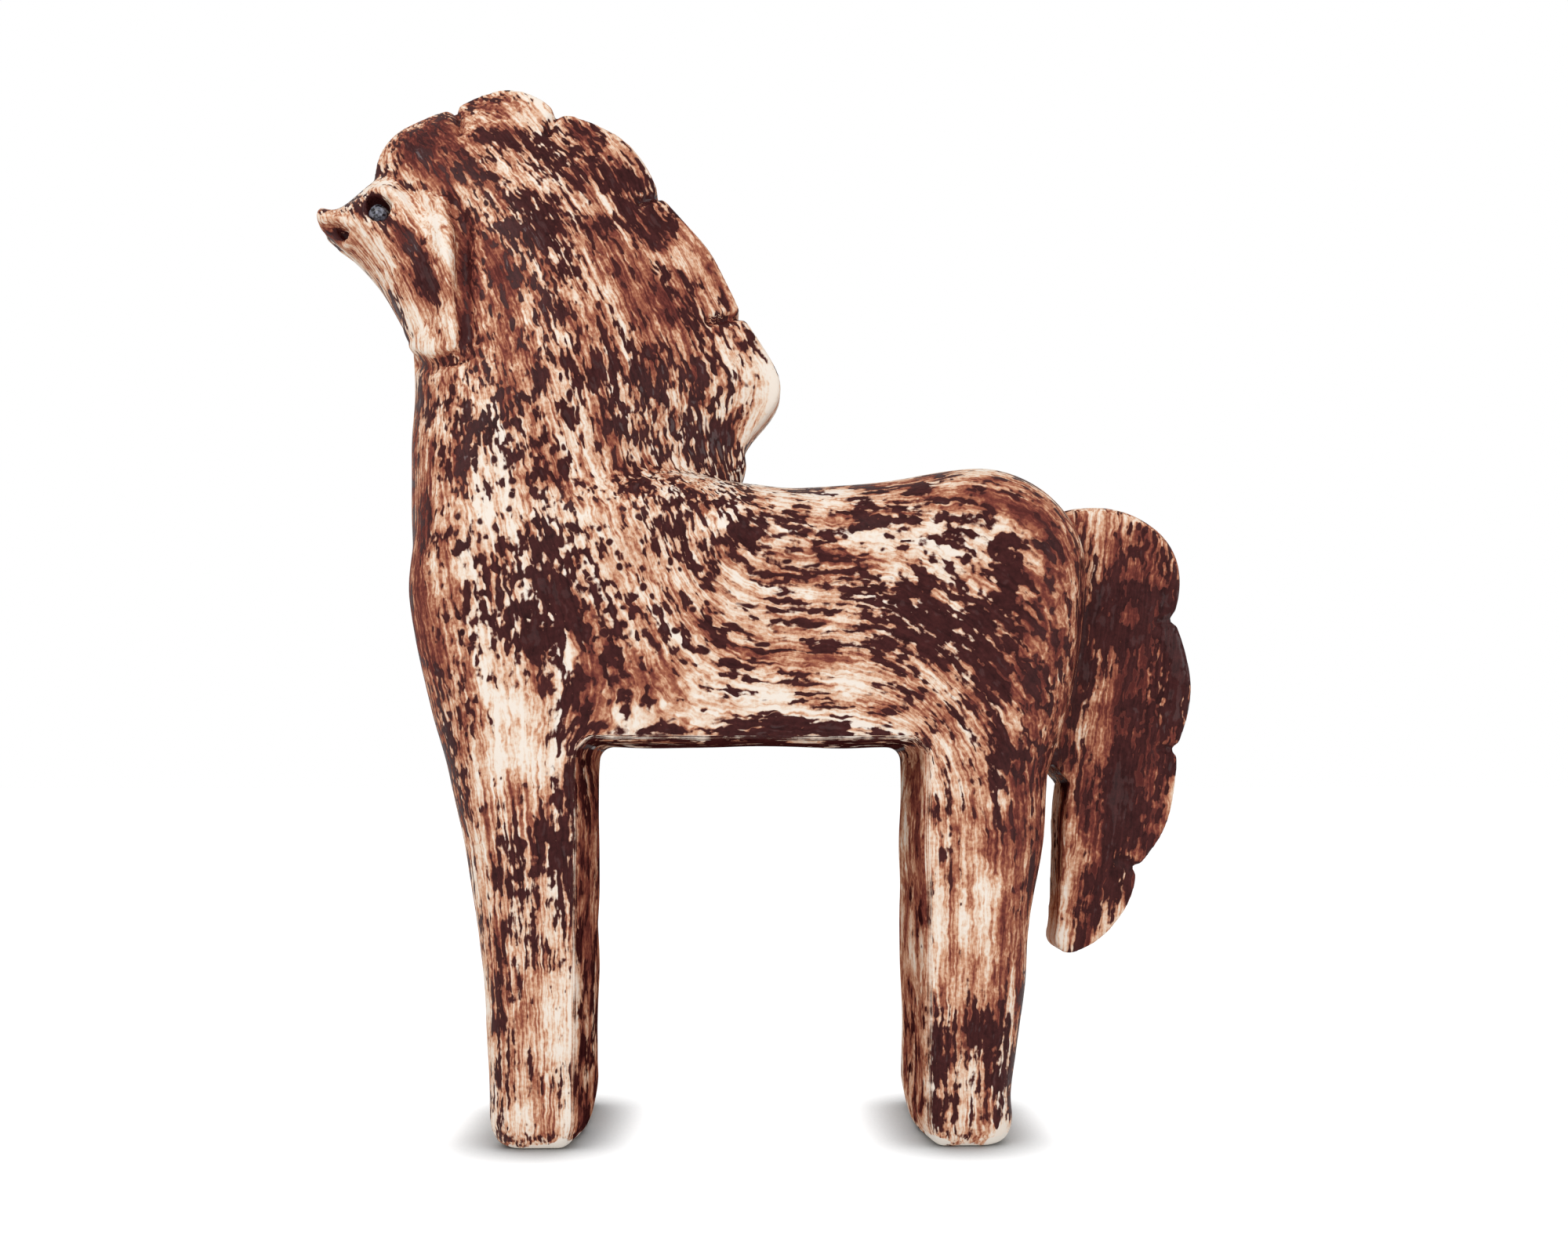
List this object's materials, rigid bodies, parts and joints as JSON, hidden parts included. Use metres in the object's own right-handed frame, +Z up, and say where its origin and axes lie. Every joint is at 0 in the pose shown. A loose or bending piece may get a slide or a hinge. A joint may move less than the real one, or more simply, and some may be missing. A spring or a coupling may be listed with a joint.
{
  "type": "ceramic horse figure",
  "caption": "Standing pottery horse with plank legs, scalloped mane and slab tail, in wiped iron-brown glaze over cream clay.",
  "frame": {"origin": "on the floor, under the middle of the horse", "axes": "+Z up; the head points to -X and the tail to +X; the horse's left side faces -Y"},
  "size_m": [0.2503, 0.064, 0.2994],
  "materials": {
    "wiped_glaze": "satin, brushed and wiped back to the clay",
    "eye_glaze": "gloss"
  },
  "bodies": {
    "root": {"barrel": "wiped_glaze", "front_leg": "wiped_glaze", "rear_leg": "wiped_glaze", "neck": "wiped_glaze", "head": "wiped_glaze", "left_eye": "eye_glaze", "right_eye": "eye_glaze", "forelock": "wiped_glaze", "mane_lock_1": "wiped_glaze", "mane_lock_2": "wiped_glaze", "mane_lock_3": "wiped_glaze", "mane_lock_4": "wiped_glaze", "tail": "wiped_glaze"}
  },
  "joints": []
}
